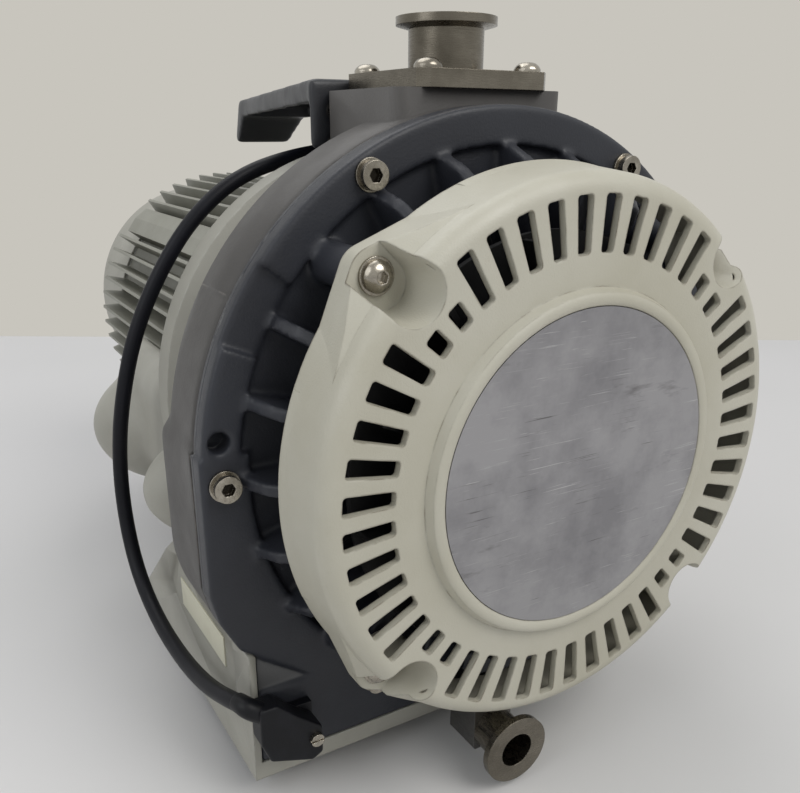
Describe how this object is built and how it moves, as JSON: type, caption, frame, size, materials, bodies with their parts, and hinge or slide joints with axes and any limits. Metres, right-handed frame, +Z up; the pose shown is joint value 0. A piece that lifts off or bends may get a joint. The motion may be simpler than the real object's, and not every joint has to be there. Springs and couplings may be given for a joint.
{
  "type": "dry scroll vacuum pump",
  "caption": "Air-cooled dry scroll vacuum pump: slotted round fan cover, finned casing with clamp-flange inlet on top and small exhaust flange, carry handle, finned motor, base on rubber feet.",
  "frame": {"origin": "on the standing plane under the feet, below the shaft and midway between the fan cover's front and the motor cowl's rear", "axes": "+Z up, +Y along the shaft from the fan cover to the motor, +X to the right seen from the fan cover"},
  "size_m": [0.257, 0.429, 0.3005],
  "materials": {
    "cream_paint": "satin cream paint on a casting",
    "dark_casing": "dark grey satin paint on cast aluminium",
    "beige_casting": "beige grey paint on a casting",
    "motor_paint": "beige grey paint",
    "plate_metal": "brushed and scratched, bare",
    "blank_label": "blank cream label",
    "feet_rubber": "matte rubber",
    "seal_rubber": "rubber",
    "tip_seal": "filled fluoropolymer",
    "screw_steel": "bright zinc plated",
    "port_steel": "turned stainless steel",
    "block_alloy": "machined alloy",
    "handle_paint": "dark grey satin paint on pressed steel",
    "bearing_steel": "ground steel",
    "iron": "laminated or cast iron",
    "windings": "varnished copper",
    "scroll_alloy": "machined alloy",
    "fan_plastic": "black moulded plastic",
    "black_plastic": "black moulded plastic",
    "lead_rubber": "black rubber sheath"
  },
  "bodies": {
    "housing": {"base": "beige_casting", "rubber_feet": "feet_rubber", "label_plate": "blank_label", "front_fixed_scroll": "dark_casing", "rear_fixed_scroll": "dark_casing", "casing_seal": "seal_rubber", "casing_screws": "screw_steel", "casing_washers": "screw_steel", "fan_cover": "cream_paint", "cover_screws": "screw_steel", "cover_washers": "screw_steel", "name_plate": "plate_metal", "inlet_port": "port_steel", "inlet_seal": "seal_rubber", "inlet_screen": "port_steel", "inlet_screws": "screw_steel", "exhaust_port": "port_steel", "exhaust_block": "block_alloy", "exhaust_spider": "port_steel", "carry_handle": "handle_paint", "handle_screws": "screw_steel", "motor_adapter": "beige_casting", "motor_frame": "motor_paint", "stator_core": "iron", "stator_windings": "windings", "rear_end_bell": "scroll_alloy", "motor_cowl": "beige_casting", "cowl_screws": "screw_steel", "terminal_box": "beige_casting", "terminal_lid": "beige_casting", "terminal_screws": "screw_steel", "lead_gland": "black_plastic", "mains_gland": "black_plastic", "plug_socket": "black_plastic", "plug_body": "black_plastic", "plug_screw": "screw_steel", "plug_boot": "lead_rubber", "motor_lead": "lead_rubber", "front_bearing": "bearing_steel", "rear_bearing": "bearing_steel", "motor_bearing": "bearing_steel", "shaft_seals": "seal_rubber", "casing_tip_seals": "tip_seal", "idler_bushes": "bearing_steel"},
    "crankshaft": {"crankshaft": "bearing_steel", "front_counterweight": "iron", "rear_counterweight": "iron", "motor_rotor": "iron", "front_fan": "fan_plastic", "rear_fan": "fan_plastic", "fan_nut": "screw_steel"},
    "orbiting_scroll": {"orbiting_scroll": "scroll_alloy", "orbiting_tip_seals": "tip_seal", "eccentric_bearing": "bearing_steel"},
    "idler_crank_1": {"idler_crank_1": "bearing_steel"},
    "idler_crank_2": {"idler_crank_2": "bearing_steel"},
    "idler_crank_3": {"idler_crank_3": "bearing_steel"}
  },
  "joints": [
    {"name": "crankshaft_spin", "type": "hinge", "parent": "housing", "child": "crankshaft", "pos_m": [0, -0.1105, 0.143], "axis": [0, 1, 0], "continuous": true},
    {"name": "orbiting_scroll_turn", "type": "hinge", "parent": "crankshaft", "child": "orbiting_scroll", "pos_m": [0.0047, -0.1305, 0.143], "axis": [0, 1, 0], "continuous": true},
    {"name": "idler_1_spin", "type": "hinge", "parent": "housing", "child": "idler_crank_1", "pos_m": [0.08097, -0.1105, 0.18975], "axis": [0, 1, 0], "continuous": true},
    {"name": "idler_2_spin", "type": "hinge", "parent": "housing", "child": "idler_crank_2", "pos_m": [-0.08097, -0.1105, 0.18975], "axis": [0, 1, 0], "continuous": true},
    {"name": "idler_3_spin", "type": "hinge", "parent": "housing", "child": "idler_crank_3", "pos_m": [0, -0.1105, 0.0495], "axis": [0, 1, 0], "continuous": true}
  ],
  "couplings": [
    {"joint": "orbiting_scroll_turn", "follows": "crankshaft_spin", "ratio": -1},
    {"joint": "idler_1_spin", "follows": "crankshaft_spin", "ratio": 1},
    {"joint": "idler_2_spin", "follows": "crankshaft_spin", "ratio": 1},
    {"joint": "idler_3_spin", "follows": "crankshaft_spin", "ratio": 1}
  ]
}
